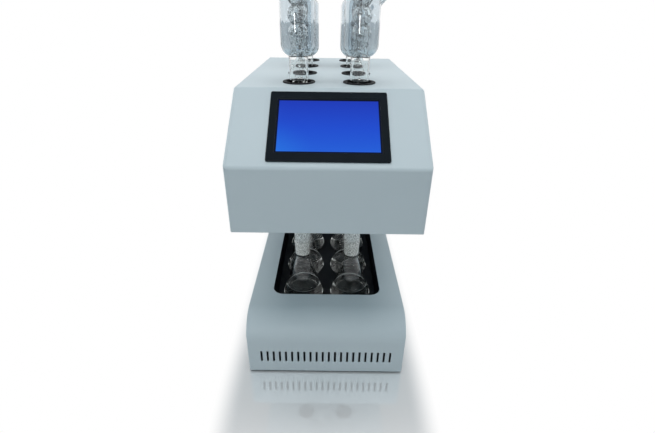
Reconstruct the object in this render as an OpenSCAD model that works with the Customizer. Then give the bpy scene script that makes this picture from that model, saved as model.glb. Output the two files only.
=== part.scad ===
// Block digester: a base with a heated well, a column, a head with a sloped display,
// eight conical flasks in the well and reflux condensers that stand in four of them.
// Origin: centre of the footprint, on the bench. -Y is the front.

/* [Housing] */
// Width of the base, the column and the head
unit_w = 300; // [292:1:360]
// Depth of the column that stands behind the well
column_d = 62; // [56:1:90]
// Height of the base cover
base_h = 122.5; // [112:0.5:140]
// Clear height between the base and the head
gap_h = 204; // [180:1:240]
// Height of the head
head_h = 196; // [180:1:220]
// Thickness of the folded sheet
sheet = 1.5; // [1:0.1:2]
// How far the base's front stands behind the head's front
base_setback = 20; // [5:1:30]
// Radius of the large bend along the top front of the base
base_bend_r = 50; // [20:1:60]
// Radius of the large bend along the top back of the head
back_bend_r = 93; // [40:1:120]
// Radius of the small bends above and below the sloped panel
slope_bend_r = 8; // [4:0.5:12]
// Height of the sloped panel
slope_rise = 90; // [84:1:100]
// Depth of the sloped panel
slope_run = 119.5; // [112:0.5:125]
// Radius along the side edges
edge_r = 3; // [2:0.5:4]
// Height of the feet
foot_h = 4; // [3:0.5:8]
// Diameter of a foot
foot_d = 30; // [20:1:34]

/* [Well] */
// Distance between the two columns of flasks
pitch_x = 102; // [96:1:110]
// Distance between the rows of flasks
pitch_y = 102; // [98:1:104]
// From the head's front to the first row
first_row = 172; // [170:1:178]
// From the middle of an outer flask to the side of the opening
well_side = 58; // [52:1:60]
// From the middle of an end flask to the end of the opening
well_end = 68; // [60:1:69]
// Corner radius of the opening
well_corner_r = 22; // [12:1:30]
// From the top of the base down to the hot plate
well_depth = 54.5; // [45:0.5:60]
// Wall of the well liner
liner_wall = 1.2; // [0.8:0.1:1.6]
// Thickness of the hot plate
plate_t = 14; // [12:1:18]
// Thickness of the insulation under the hot plate
insulation_t = 26.8; // [22:0.2:28]
// Diameter of the sheathed heating elements
element_d = 8; // [6:0.5:10]
// Distance between the legs of one element
element_w = 50; // [40:1:60]

/* [Front vent] */
// Number of vent slots
slot_count = 22; // [10:1:22]
// Distance between vent slots
slot_pitch = 11.8; // [9:0.1:12]
// Width of a vent slot
slot_w = 4; // [2:0.5:6]
// Height of a vent slot
slot_h = 26; // [15:1:34]
// From the cover's lower edge to the slots
slot_up = 25; // [18:1:30]

/* [Head openings] */
// Bore of a grommet and of its guide sleeve
guide_bore = 42; // [38:0.5:44]
// Outer diameter of a grommet's lip
lip_d = 55; // [53:0.5:60]
// How far a grommet's lip stands up
lip_h = 1.8; // [1:0.1:3]
// Wall of a guide sleeve
sleeve_wall = 2; // [1.5:0.1:2.4]

/* [Display] */
// Width of the bezel beside the lit screen
bezel_side = 14.3; // [12:0.1:24]
// Height of the bezel above and below the lit screen
bezel_end = 17.5; // [14:0.1:18]
// From the top of the slope down to the bezel
bezel_down = 10; // [6:0.5:12]
// How far the bezel stands out of the slope
bezel_proud = 3; // [2:0.2:5]
// Width of the lit screen
screen_w = 152.4; // [140:0.2:156]
// Height of the lit screen
screen_h = 94; // [80:0.2:96]

/* [Flasks] */
// Greatest diameter of a flask
flask_d = 86; // [80:1:90]
// Height of a flask
flask_h = 142.5; // [136:0.5:148]
// Wall of the glass
glass = 1.8; // [1.5:0.1:2.2]
// Outer diameter of the neck under the ground joint
neck_d = 26; // [25:0.5:28]
// Mean bore of the ground joint
joint_d = 28; // [27.5:0.5:29]
// Length of the ground joint
joint_l = 32; // [28:1:32]
// How far apart two pieces of glass stand in a ground joint
joint_gap = 0.3; // [0.2:0.05:0.4]

/* [Condensers] */
// Outer diameter of the jacket
jacket_d = 57; // [52:1:60]
// Length of the jacket
jacket_l = 108; // [104:1:120]
// From the head's top up to a front condenser's jacket
jacket_rise = 40; // [30:1:60]
// How much shorter the stems of the rear condensers are
rear_drop = 20; // [0:1:25]
// Outer diameter of the stem
stem_d = 32; // [31:0.5:34]
// Outer diameter of a bulb
bulb_d = 32; // [30:0.5:34]
// Number of bulbs
bulb_count = 3; // [2:1:3]
// Distance between bulbs
bulb_pitch = 26; // [24:0.5:28]
// Height of the open tube above the jacket
mouth_l = 30; // [20:1:50]
// Length of a hose arm
arm_l = 26; // [20:1:34]

/* [Back] */
// Size of the square cooling fan
fan_w = 80; // [76:1:84]
// Depth of the cooling fan
fan_t = 25; // [20:1:26]
// From the fan to the upright beside it
fan_side = 6.5; // [3:0.5:10]
// Height of the fan's axis above the base pan
fan_up = 59.5; // [52:0.5:64]
// Number of fan blades
blade_count = 7; // [5:1:9]
// From the mains inlet's body to the upright beside it
inlet_side = 13.5; // [11:0.5:16]

/* [Hidden] */

$fn = 96;
eps = 0.01;
cut = 2;
fit = 0.3;
// between a screw or a probe and its hole
slack = 0.1;
rear_proud = 4;

// Heights
base_z = foot_h;
pan_top = base_z + sheet;
base_top = base_z + base_h;
head_z = base_top + gap_h;
head_top = head_z + head_h;
plate_z = base_top - well_depth;
insulation_top = plate_z - plate_t;
shield_z = insulation_top - insulation_t - liner_wall;

// Depths
row_count = 4;
column_gap = 8;
// over everything, from the head's front to the fan guard's screws
unit_d = first_row + (row_count - 1) * pitch_y + well_end + column_gap + column_d + rear_proud;
head_front = -unit_d / 2;
back_y = unit_d / 2 - rear_proud;
shell_back = back_y - sheet;
base_front = head_front + base_setback;
row_1 = head_front + first_row;
last_row = row_1 + (row_count - 1) * pitch_y;
well_front = row_1 - well_end;
well_back = last_row + well_end;
well_mid = (well_front + well_back) / 2;
well_l = well_back - well_front;
well_w = pitch_x + 2 * well_side;
column_y = well_back + column_gap;

// Sloped panel
slope_angle = atan2(slope_rise, slope_run);
slope_top_y = head_front + slope_run;
slope_z = head_top - slope_rise;

// Uprights and rails
inner_w = unit_w - 2 * sheet;
upright_w = 22;
upright_d = 40;
upright_wall = 2;
upright_in = inner_w / 2 - upright_w;
upright_top = head_z + head_h / 2;
rail_leg = 25;
fan_x = upright_in - fan_w / 2 - fan_side;

function unit(v) = v / norm(v);

// The edge from a to b, moved t towards its left
function moved(a, b, t) = let (d = unit(b - a), n = [-d[1], d[0]]) [a + t * n, b + t * n];

// Where two lines cross
function crossing(p, q) =
    let (d = p[1] - p[0], e = q[1] - q[0], w = q[0] - p[0])
    p[0] + d * (w[0] * e[1] - w[1] * e[0]) / (d[0] * e[1] - d[1] * e[0]);

// An outline with each edge moved inwards by its own amount; the points run counter-clockwise
function inset(points, amounts) =
    let (n = len(points))
    [for (i = [0 : n - 1])
        let (before = (i + n - 1) % n, after = (i + 1) % n)
        crossing(moved(points[before], points[i], amounts[before]),
                 moved(points[i], points[after], amounts[i]))];

// What a round of radius r takes off the corner b between a and c, drawn over times too
// large outwards. Added to an outline, with a and c exchanged, it is the fillet of an
// inner corner. The arc crosses the two edges by a hair, because one that only touches
// them leaves a sliver
module corner_bit(a, b, c, r, over = 1.5) {
    u = unit(a - b);
    v = unit(c - b);
    half = acos(u * v) / 2;
    centre = b + unit(u + v) * r / sin(half);
    back = r / tan(half);
    difference() {
        polygon([centre, centre + over * (b + u * back - centre),
                 b + (over - 1) * (b - centre), centre + over * (b + v * back - centre)]);
        translate(centre) circle(r + min(0.02, r / 400));
    }
}

// A convex outline whose corners have their own radii
module rounded(points, radii) {
    n = len(points);
    difference() {
        polygon(points);
        for (i = [0 : n - 1]) if (radii[i] > 0)
            corner_bit(points[(i + n - 1) % n], points[i], points[(i + 1) % n], radii[i]);
    }
}

// A rectangle about the origin with round corners
module round_rect(w, l, r) {
    x = w / 2;
    y = l / 2;
    rounded([[-x, -y], [x, -y], [x, y], [-x, y]], [r, r, r, r]);
}

module round_plate(w, l, h, r) linear_extrude(h) round_rect(w, l, r);

// A side outline in Y and Z, made w wide about the middle plane
module side_extrude(w) rotate([90, 0, 90]) translate([0, 0, -w / 2]) linear_extrude(w) children();

module tube(h, outer_r, inner_r) {
    difference() {
        cylinder(h = h, r = outer_r);
        translate([0, 0, -eps]) cylinder(h = h + 2 * eps, r = inner_r);
    }
}

module mirrored() {
    children();
    mirror([1, 0, 0]) children();
}

function place(i) = [(i % 2 == 0 ? -1 : 1) * pitch_x / 2, row_1 + floor(i / 2) * pitch_y, 0];

module at_places() for (i = [0 : 2 * row_count - 1]) translate(place(i)) children();

// Frame of the sloped panel: X across, Y up the slope from its top edge, Z out of it
module on_slope() translate([0, slope_top_y, head_top]) rotate([slope_angle, 0, 0]) children();

// Frame of a hole in the rear panel: X to the right seen from the front, Z up, outside face at Y = 0
module on_back(x, z) translate([x, back_y, z]) children();

// ---- Base ----

base_outline = [[base_front, base_z], [shell_back, base_z], [shell_back, base_top], [base_front, base_top]];

module base_cover() color([0.55, 0.64, 0.69]) difference() {
    intersection() {
        side_extrude(unit_w) rounded(base_outline, [0, 0, 0, base_bend_r]);
        translate([0, shell_back / 2 + base_front / 2, 0])
            linear_extrude(base_top + cut) round_front(unit_w, shell_back - base_front);
    }
    side_extrude(inner_w)
        rounded(inset(base_outline, [-cut, -cut, sheet, sheet]), [0, 0, 0, base_bend_r - sheet]);
    // the column stands over this part
    translate([-inner_w / 2, column_y + sheet, base_z])
        cube([inner_w, shell_back - column_y, base_h + cut]);
    translate([0, well_mid, base_top - sheet - cut])
        round_plate(well_w, well_l, sheet + 2 * cut, well_corner_r);
    for (i = [0 : slot_count - 1])
        translate([(i - (slot_count - 1) / 2) * slot_pitch - slot_w / 2,
                   base_front - cut, base_z + slot_up])
            cube([slot_w, sheet + 2 * cut, slot_h]);
}

// A plan outline whose two front corners are round
module round_front(w, l) {
    x = w / 2;
    y = l / 2;
    rounded([[-x, -y], [x, -y], [x, y], [-x, y]], [edge_r, edge_r, 0, 0]);
}

pan_w = inner_w - 2 * fit;
pan_front = base_front + sheet + fit;
pan_lip = 14;

module base_pan() color([0.5, 0.52, 0.54]) difference() {
    translate([-pan_w / 2, pan_front, base_z]) cube([pan_w, shell_back - pan_front, pan_lip]);
    translate([-pan_w / 2 + sheet, pan_front + sheet, pan_top])
        cube([pan_w - 2 * sheet, shell_back - pan_front, pan_lip]);
    // the uprights stand here
    translate([-pan_w / 2 - eps, shell_back - upright_d - fit, pan_top])
        cube([pan_w + 2 * eps, upright_d + cut, pan_lip]);
    at_feet() translate([0, 0, base_z - cut]) cylinder(h = sheet + 2 * cut, r = foot_screw_r + slack);
}

foot_inset = 34;
foot_screw_r = 2;
foot_web = 1.4;
foot_recess_r = 4.2;
foot_head_h = 1.6;
foot_screw_l = 14;
nut_r = 4;
nut_h = 3.2;

module at_feet() for (x = [-1, 1], y = [base_front + foot_inset, shell_back - foot_inset - 28])
    translate([x * (unit_w / 2 - foot_inset), y, 0]) children();

module feet() color([0.08, 0.08, 0.09]) at_feet() rotate_extrude() difference() {
    rounded([[0, 0], [foot_d / 2, 0], [foot_d / 2, foot_h], [0, foot_h]], [0, 1, 0, 0]);
    square([foot_screw_r + slack, foot_h]);
    translate([0, -cut]) square([foot_recess_r, foot_h - foot_web + cut]);
}

module foot_screws() color([0.7, 0.7, 0.72]) at_feet() {
    translate([0, 0, foot_h - foot_web - foot_head_h]) {
        cylinder(h = foot_head_h, r = foot_recess_r - 0.6);
        cylinder(h = foot_screw_l, r = foot_screw_r);
    }
    translate([0, 0, pan_top]) cylinder(h = nut_h, r = nut_r, $fn = 6);
}

// the liner stands back from the edge of the opening
liner_back = 1;
liner_inner_w = well_w + 2 * liner_back;
liner_inner_l = well_l + 2 * liner_back;
liner_flange = 5;
liner_z = shield_z + liner_wall;

module liner_outline(grow) round_rect(liner_inner_w + 2 * grow, liner_inner_l + 2 * grow,
                                      well_corner_r + liner_back + grow);

module well_liner() color([0.05, 0.06, 0.07]) difference() {
    translate([0, well_mid, 0]) {
        translate([0, 0, liner_z])
            linear_extrude(base_top - sheet - liner_z) liner_outline(liner_wall);
        translate([0, 0, base_top - sheet - liner_wall])
            linear_extrude(liner_wall) liner_outline(liner_wall + liner_flange);
    }
    translate([0, well_mid, liner_z - cut])
        linear_extrude(base_h) liner_outline(0);
    element_legs(element_d / 2 + element_gap, well_back - cut, column_y);
    thermocouple_at(probe_r + element_gap, well_back - cut, column_y);
}

plate_clearance = 1.5;

module hot_plate() color([0.07, 0.07, 0.08]) difference() {
    translate([0, well_mid, insulation_top]) linear_extrude(plate_t) liner_outline(-plate_clearance);
    thermocouple_at(probe_r + slack, probe_tip - 1, well_back);
}

element_gap = 0.6;
element_z = insulation_top - element_d / 2;
element_front = row_1 - 20;
element_end = column_y;

// The long legs of both elements, from one depth to another
module element_legs(r, from, to) for (x = [-1, 1], leg = [-1, 1])
    translate([x * pitch_x / 2 + leg * element_w / 2, from, element_z])
        rotate([-90, 0, 0]) cylinder(h = to - from, r = r);

module heating_elements() color([0.45, 0.4, 0.36]) {
    element_legs(element_d / 2, element_front, element_end);
    for (x = [-1, 1]) translate([x * pitch_x / 2, element_front, element_z])
        rotate([0, 0, 180]) rotate_extrude(angle = 180)
            translate([element_w / 2, 0]) circle(element_d / 2);
}

module insulation_board() color([0.9, 0.88, 0.82]) difference() {
    translate([0, well_mid, liner_z]) linear_extrude(insulation_t) liner_outline(-plate_clearance);
    for (x = [-1, 1]) {
        groove_r = element_w / 2 + element_d / 2 + fit;
        translate([x * pitch_x / 2, element_front, element_z - element_d / 2 - fit]) {
            difference() {
                union() {
                    cylinder(h = element_d + cut, r = groove_r);
                    translate([-groove_r, 0, 0]) cube([2 * groove_r, well_l, element_d + cut]);
                }
                translate([0, 0, -eps]) {
                    cylinder(h = element_d + 2 * cut, r = groove_r - element_d - 2 * fit);
                    translate([element_d + 2 * fit - groove_r, 0, 0])
                        cube([2 * (groove_r - element_d - 2 * fit), well_l, element_d + 2 * cut]);
                }
            }
        }
    }
}

// the wall of the tray ends below the liner's screws
shield_wall_h = insulation_t - 6;

module heat_shield() color([0.72, 0.73, 0.74]) translate([0, well_mid, shield_z]) difference() {
    linear_extrude(shield_wall_h) liner_outline(2 * liner_wall + fit);
    translate([0, 0, liner_wall]) linear_extrude(insulation_t) liner_outline(liner_wall + fit);
    for (x = [-1, 1], leg = [-1, 1])
        translate([x * pitch_x / 2 + leg * element_w / 2 - element_d / 2 - element_gap, well_l / 2 - 10,
                   element_z - shield_z - element_d / 2 - element_gap])
            cube([element_d + 2 * element_gap, 30, insulation_t]);
}

standoff_r = 6;

module plate_standoffs() color([0.75, 0.75, 0.77])
    for (x = [-1, 1], y = [well_front + 30, well_mid, well_back - 30])
        translate([x * (well_w / 2 - 20), y, pan_top]) cylinder(h = shield_z - pan_top, r = standoff_r);

probe_r = 1.5;
probe_tip = well_back - 60;
probe_end = well_back + 14;
probe_grip_r = 3;
probe_z = plate_z - plate_t / 2;

module thermocouple_at(r, from, to)
    translate([0, from, probe_z]) rotate([-90, 0, 0]) cylinder(h = to - from, r = r);

module thermocouple() color([0.75, 0.75, 0.77]) {
    thermocouple_at(probe_r, probe_tip, probe_end);
    thermocouple_at(probe_grip_r, well_back + liner_back + liner_wall + fit, probe_end);
}

// ---- Parts in the foot of the column ----

supply_d = 30;
supply_h = 99;
supply_left = 38;
supply_right = 20;
hole_w = 6;
hole_h = 5;
hole_pitch = 10;
hole_side = 11;
hole_low = 14;

// Stands between the mains inlet and the relay's heat sink
module power_supply() color([0.72, 0.73, 0.75]) {
    left = supply_left - inlet_x;
    supply_w = fan_x - sink_w / 2 - supply_right - left;
    translate([left, column_y + 8, pan_top]) difference() {
        cube([supply_w, supply_d, supply_h]);
        // vent holes in the face that looks to the back
        for (x = [hole_side : hole_pitch : supply_w - hole_side], z = [hole_low : hole_pitch : supply_h - hole_low])
            translate([x, supply_d - 3, z]) cube([hole_w, 3 + cut, hole_h]);
    }
}

sink_w = 60;
sink_h = 60;
sink_foot = 4;
fin_l = 9;
// between the fins and the fan
fin_gap = 2.5;
sink_y = shell_back - fan_t - fin_gap - fin_l - sink_foot;

module relay_heat_sink() color([0.62, 0.64, 0.66]) translate([fan_x - sink_w / 2, sink_y, pan_top]) {
    fins = 9;
    cube([sink_w, sink_foot, sink_h]);
    for (i = [0 : fins - 1]) translate([i * (sink_w - 2) / (fins - 1), sink_foot - eps, 0])
        cube([2, fin_l, sink_h]);
}

relay_t = sink_y - column_y - 1;
relay_w = 44;
relay_h = 58;
terminal_w = 12;
terminal_h = 10;

module solid_state_relay() color([0.9, 0.9, 0.88]) translate([fan_x - relay_w / 2, sink_y - relay_t, pan_top]) {
    difference() {
        cube([relay_w, relay_t, relay_h]);
        for (x = [5, relay_w - 5 - terminal_w], z = [4, relay_h - 4 - terminal_h])
            translate([x, -eps, z]) cube([terminal_w, 6, terminal_h]);
    }
}

module terminal_block() color([0.92, 0.9, 0.84]) translate([-inlet_x - 28, column_y + 4, pan_top])
    difference() {
        cube([56, 18, 18]);
        for (i = [0 : 4]) translate([8 + i * 10, 9, 8]) cylinder(h = 12, r = 3);
    }

// ---- Column and back ----

module column_cover() color([0.53, 0.62, 0.67]) translate([0, 0, base_top]) difference() {
    translate([-unit_w / 2, column_y, 0]) cube([unit_w, shell_back - column_y, gap_h]);
    translate([-inner_w / 2, column_y + sheet, -cut])
        cube([inner_w, shell_back - column_y, gap_h + 2 * cut]);
}

module column_uprights() color([0.6, 0.62, 0.63]) mirrored() difference() {
    translate([upright_in, shell_back - upright_d, pan_top])
        cube([upright_w, upright_d, upright_top - pan_top]);
    translate([upright_in + upright_wall, shell_back - upright_d - cut, pan_top - cut])
        cube([upright_w - 2 * upright_wall, upright_d + cut - upright_wall, upright_top]);
    at_panel_screws() rotate([90, 0, 0]) translate([0, 0, -cut])
        cylinder(h = upright_wall + sheet + 2 * cut, r = screw_r + slack);
}

rail_x = inner_w / 2 - upright_wall;
rail_z = head_z + sheet;
rail_front = head_front + sheet + 20;

module head_rails() color([0.6, 0.62, 0.63]) mirrored() difference() {
    union() {
        translate([rail_x - upright_wall, rail_front, rail_z])
            cube([upright_wall, shell_back - 4 - rail_front, rail_leg]);
        translate([rail_x - rail_leg, rail_front, rail_z])
            cube([rail_leg, shell_back - upright_d - 2 - rail_front, upright_wall]);
    }
    at_floor_screws() translate([0, 0, -cut]) cylinder(h = 3 * cut + upright_wall, r = screw_r + slack);
}

screw_r = 1.5;
screw_head_r = 3;
screw_head_h = 2;
panel_top = head_top - back_bend_r - fit;
panel_screw_x = unit_w / 2 - sheet - upright_w / 2;
panel_screw_z = [30, base_top - 14, base_top + gap_h / 3, head_z - gap_h / 3 + 20, head_z + 20, upright_top - 12];

module at_panel_screws() for (z = panel_screw_z)
    translate([panel_screw_x, back_y, z]) children();

// A cross-head screw that points along -Z, its head's underside at Z = 0
module pan_screw(l, r = screw_r, head_r = screw_head_r, head_h = screw_head_h) {
    translate([0, 0, -l]) cylinder(h = l, r = r);
    difference() {
        cylinder(h = head_h, r = head_r);
        translate([0, 0, head_h]) for (a = [0, 90]) rotate(a) cube([head_r * 1.2, 0.8, 2], center = true);
    }
}

back_slot_z = head_z + 30;

module rear_panel() color([0.53, 0.62, 0.67]) difference() {
    translate([-unit_w / 2, shell_back, base_z]) cube([unit_w, sheet, panel_top - base_z]);
    on_back(fan_x, fan_z) rotate([90, 0, 0]) translate([0, 0, -cut]) {
        cylinder(h = sheet + 2 * cut, r = fan_bore_r);
        at_fan_corners() cylinder(h = sheet + 2 * cut, r = fan_screw_r + slack);
    }
    on_back(-inlet_x, inlet_z) translate([-inlet_body_w / 2 - fit, -sheet - cut, -inlet_body_h / 2 - fit])
        cube([inlet_body_w + 2 * fit, sheet + 2 * cut, inlet_body_h + 2 * fit]);
    on_back(-inlet_x, switch_z) translate([-switch_w / 2 - fit, -sheet - cut, -switch_h / 2 - fit])
        cube([switch_w + 2 * fit, sheet + 2 * cut, switch_h + 2 * fit]);
    for (i = [-7 : 7]) translate([i * slot_pitch - slot_w / 2, shell_back - cut, back_slot_z])
        cube([slot_w, sheet + 2 * cut, 40]);
    mirrored() at_panel_screws() rotate([90, 0, 0]) translate([0, 0, -cut])
        cylinder(h = sheet + 2 * cut, r = screw_r + slack);
}

module rear_panel_screws() color([0.75, 0.75, 0.77])
    mirrored() at_panel_screws() rotate([-90, 0, 0]) pan_screw(7);

inlet_z = pan_top + 45;
inlet_body_w = 46;
inlet_x = upright_in - inlet_body_w / 2 - inlet_side;
inlet_body_h = 38;
inlet_depth = 24;
flange_t = 2.5;
socket_z = 8;
socket_w = 24.6;
socket_h = 15;
drawer_w = 24;
drawer_h = 9;
drawer_z = -11.5;
drawer_l = 20;

module power_inlet() color([0.07, 0.07, 0.08]) on_back(-inlet_x, inlet_z) difference() {
    union() {
        translate([0, flange_t, 0]) rotate([90, 0, 0]) round_plate(inlet_body_w + 6, inlet_body_h + 6, flange_t, 2);
        translate([-inlet_body_w / 2, -inlet_depth, -inlet_body_h / 2])
            cube([inlet_body_w, inlet_depth + eps, inlet_body_h]);
    }
    // socket, with its two upper corners cut off
    translate([0, flange_t + cut, socket_z]) rotate([90, 0, 0]) linear_extrude(18 + cut)
        polygon([[-socket_w / 2, -socket_h / 2], [socket_w / 2, -socket_h / 2],
                 [socket_w / 2, socket_h / 2 - 4], [socket_w / 2 - 4, socket_h / 2],
                 [4 - socket_w / 2, socket_h / 2], [-socket_w / 2, socket_h / 2 - 4]]);
    translate([-drawer_w / 2 - fit, flange_t - drawer_l - fit, drawer_z - drawer_h / 2 - fit])
        cube([drawer_w + 2 * fit, drawer_l + cut, drawer_h + 2 * fit]);
}

pin_l = 13;

module inlet_pins() color([0.8, 0.8, 0.78]) on_back(-inlet_x, inlet_z + socket_z)
    for (p = [[-7, -2], [0, 2], [7, -2]])
        translate([p[0] - 1, flange_t - 18, p[1] - 2]) cube([2, pin_l, 4]);

module fuse_drawer() color([0.1, 0.1, 0.11]) on_back(-inlet_x, inlet_z + drawer_z) difference() {
    union() {
        translate([-drawer_w / 2, flange_t - drawer_l, -drawer_h / 2]) cube([drawer_w, drawer_l, drawer_h]);
        translate([-drawer_w / 2 + 2, flange_t - eps, -1]) cube([drawer_w - 4, 1.2, 3]);
    }
    // the trough that holds the fuse
    translate([0, flange_t - drawer_l / 2 - 1, 0]) rotate([0, 90, 0])
        cylinder(h = 20.6, r = fuse_r + 0.1, center = true);
    translate([-10.3, flange_t - drawer_l / 2 - 1 - fuse_r - 0.1, 0])
        cube([20.6, 2 * fuse_r + 0.2, drawer_h]);
}

fuse_r = 2.6;

module fuse() color([0.8, 0.82, 0.8])
    on_back(-inlet_x, inlet_z + drawer_z) translate([0, flange_t - drawer_l / 2 - 1, 0])
        rotate([0, 90, 0]) {
            cylinder(h = 10, r = fuse_r - 0.4, center = true);
            for (s = [-1, 1]) translate([0, 0, s * 7.5]) cylinder(h = 5, r = fuse_r, center = true);
        }

switch_z = inlet_z + 48;
switch_w = 28;
switch_h = 20;
switch_depth = 18;
rocker_w = 20;
rocker_h = 14;
pivot_y = -4;
pivot_r = 1.5;

module switch_frame() color([0.07, 0.07, 0.08]) on_back(-inlet_x, switch_z) difference() {
    union() {
        translate([0, flange_t, 0]) rotate([90, 0, 0]) round_plate(switch_w + 5, switch_h + 5, flange_t, 2);
        translate([-switch_w / 2, -switch_depth, -switch_h / 2])
            cube([switch_w, switch_depth + eps, switch_h]);
    }
    translate([-rocker_w / 2 - fit, -12, -rocker_h / 2 - 0.8])
        cube([rocker_w + 2 * fit, 12 + flange_t + cut, rocker_h + 1.6]);
    translate([0, pivot_y, 0]) rotate([0, 90, 0])
        cylinder(h = rocker_w + 5, r = pivot_r + 0.05, center = true);
}

module switch_rocker() color([0.6, 0.08, 0.06]) on_back(-inlet_x, switch_z) translate([0, pivot_y, 0])
    rotate([rocker_tilt, 0, 0]) {
        rotate([90, 0, 90]) translate([0, 0, -rocker_w / 2]) linear_extrude(rocker_w) difference() {
            rocker_front = flange_t - pivot_y;
            polygon([[-4, -4], [-4, 4], [rocker_front, rocker_h / 2 - 0.5],
                     [rocker_front - 1.6, 0], [rocker_front, 0.5 - rocker_h / 2]]);
        }
        rotate([0, 90, 0]) cylinder(h = rocker_w + 4.6, r = pivot_r, center = true);
    }

rocker_tilt = 6;

fan_z = pan_top + fan_up;
fan_bore_r = fan_w / 2 - 3;
fan_hole = fan_w / 2 - 4.5;
fan_screw_r = 2;
hub_r = 17;
shaft_r = 1.5;
motor_t = 8;

module at_fan_corners() for (x = [-1, 1], y = [-1, 1]) translate([x * fan_hole, y * fan_hole, 0]) children();

// Frame of the fan: Z points out of the back, Z = 0 at the panel's inside
module on_fan() translate([fan_x, shell_back, fan_z]) rotate([-90, 0, 0]) children();

module fan_frame() color([0.08, 0.08, 0.09]) on_fan() translate([0, 0, -fan_t]) {
    difference() {
        round_plate(fan_w, fan_w, fan_t, 4);
        translate([0, 0, -cut]) {
            cylinder(h = fan_t + 2 * cut, r = fan_bore_r);
            at_fan_corners() cylinder(h = fan_t + 2 * cut, r = fan_screw_r + slack);
        }
        // the sides are thinned between the two flanges
        for (a = [0 : 90 : 270]) rotate(a) translate([fan_w / 2 - 1, -fan_w / 2 + 12, 4])
            cube([1 + cut, fan_w - 24, fan_t - 8]);
    }
    // struts and motor, on the side that looks into the housing
    for (a = [45 : 90 : 315]) rotate(a) translate([hub_r - 2, -2, 0]) cube([fan_bore_r - hub_r + 2.5, 4, 3]);
    cylinder(h = motor_t - 2, r = hub_r);
    cylinder(h = fan_t - 6, r = shaft_r);
}

module fan_rotor() color([0.12, 0.12, 0.13]) on_fan() translate([0, 0, -fan_t + motor_t - 1]) difference() {
    union() {
        hub_h = fan_t - motor_t - 2;
        cylinder(h = hub_h, r = hub_r);
        intersection() {
            tube(hub_h, fan_bore_r - 1, hub_r - 1);
            for (i = [0 : blade_count - 1]) rotate(i * 360 / blade_count)
                translate([0, 0, hub_h / 2]) rotate([38, 0, 0])
                    translate([hub_r - 2, -0.8, -hub_h]) cube([fan_bore_r, 1.6, 2 * hub_h]);
        }
    }
    translate([0, 0, -cut]) cylinder(h = fan_t - motor_t - 3 + cut, r = shaft_r + 0.05);
}

guard_wire = 1.8;

module fan_guard() color([0.78, 0.79, 0.8]) on_fan() translate([0, 0, sheet]) {
    for (r = [9 : 7 : fan_bore_r]) translate([0, 0, guard_wire * 1.4])
        rotate_extrude() translate([r, 0]) circle(guard_wire / 2);
    for (a = [45, 135]) rotate(a) rotate([0, 90, 0])
        translate([-guard_wire / 2, 0, -fan_hole * sqrt(2) + 4])
            cylinder(h = 2 * fan_hole * sqrt(2) - 8, r = guard_wire / 2);
    at_fan_corners() tube(guard_wire, 4.2, fan_screw_r + slack);
}

module fan_screws() color([0.75, 0.75, 0.77]) on_fan() at_fan_corners() {
    head_h = rear_proud - guard_wire;
    translate([0, 0, sheet + guard_wire]) pan_screw(fan_t + sheet + guard_wire + 4, fan_screw_r, 3.6, head_h);
    translate([0, 0, -fan_t - 3]) cylinder(h = 3, r = 3.8, $fn = 6);
}

// ---- Head ----

head_outline = [[head_front, head_z], [back_y, head_z], [back_y, head_top],
                [slope_top_y, head_top], [head_front, slope_z]];

cheek_w = edge_r + 0.5;

// The whole bent sheet of the head
module head_shell() difference() {
    intersection() {
        side_extrude(unit_w)
            rounded(head_outline, [0, 0, back_bend_r, slope_bend_r, slope_bend_r]);
        translate([0, (head_front + back_y) / 2, 0])
            linear_extrude(head_top + cut) round_front(unit_w, back_y - head_front);
        translate([0, back_y + cut, 0]) rotate([90, 0, 0]) linear_extrude(unit_d + 2 * cut)
            rounded([[-unit_w / 2, head_z - cut], [unit_w / 2, head_z - cut],
                     [unit_w / 2, head_top], [-unit_w / 2, head_top]], [0, 0, edge_r, edge_r]);
    }
    side_extrude(inner_w) rounded(inset(head_outline, [-cut, sheet, sheet, sheet, sheet]),
        [0, 0, back_bend_r - sheet, slope_bend_r - sheet, slope_bend_r - sheet]);
    // the rear panel closes this side
    translate([-unit_w / 2 - cut, shell_back, head_z - cut])
        cube([unit_w + 2 * cut, 4 * sheet, panel_top + fit - head_z + cut]);
    at_places() translate([0, 0, head_top - sheet - cut]) cylinder(h = sheet + 2 * cut, r = grommet_hole_r);
    on_slope() translate([0, -bezel_down - bezel_h / 2, -sheet - cut])
        round_plate(bezel_body_w + 2 * fit, bezel_body_h + 2 * fit, sheet + 2 * cut, 3);
}

// What lies between the two side cheeks, which are welded on just inside their bends
module between_cheeks() translate([-unit_w / 2 + cheek_w, head_front - cut, head_z - cut])
    cube([unit_w - 2 * cheek_w, back_y - head_front + 2 * cut, head_top - head_z + 2 * cut]);

module head_cover() color([0.72, 0.78, 0.8]) intersection() {
    head_shell();
    between_cheeks();
}

module head_cheeks() color([0.72, 0.78, 0.8]) difference() {
    head_shell();
    between_cheeks();
}

floor_w = inner_w - 2 * fit;
floor_front = head_front + sheet + fit;
floor_back = column_y + sheet;
floor_lip = 12;
floor_screw_x = rail_x - rail_leg / 2;

module at_floor_screws() for (i = [0 : 3])
    translate([floor_screw_x, row_1 + (i - 0.5) * pitch_y, rail_z]) children();

module head_floor() color([0.55, 0.6, 0.63]) difference() {
    translate([-floor_w / 2, floor_front, head_z]) cube([floor_w, floor_back - floor_front, floor_lip]);
    translate([-floor_w / 2 + sheet, floor_front + sheet, rail_z])
        cube([floor_w - 2 * sheet, floor_back - floor_front, floor_lip]);
    at_places() translate([0, 0, head_z - cut]) cylinder(h = sheet + 2 * cut, r = guide_bore / 2 + 0.5);
    mirrored() at_floor_screws() translate([0, 0, -sheet - cut])
        cylinder(h = sheet + 2 * cut, r = screw_r + slack);
}

module head_floor_screws() color([0.75, 0.75, 0.77])
    mirrored() at_floor_screws() translate([0, 0, -sheet]) rotate([180, 0, 0]) pan_screw(7);

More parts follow.
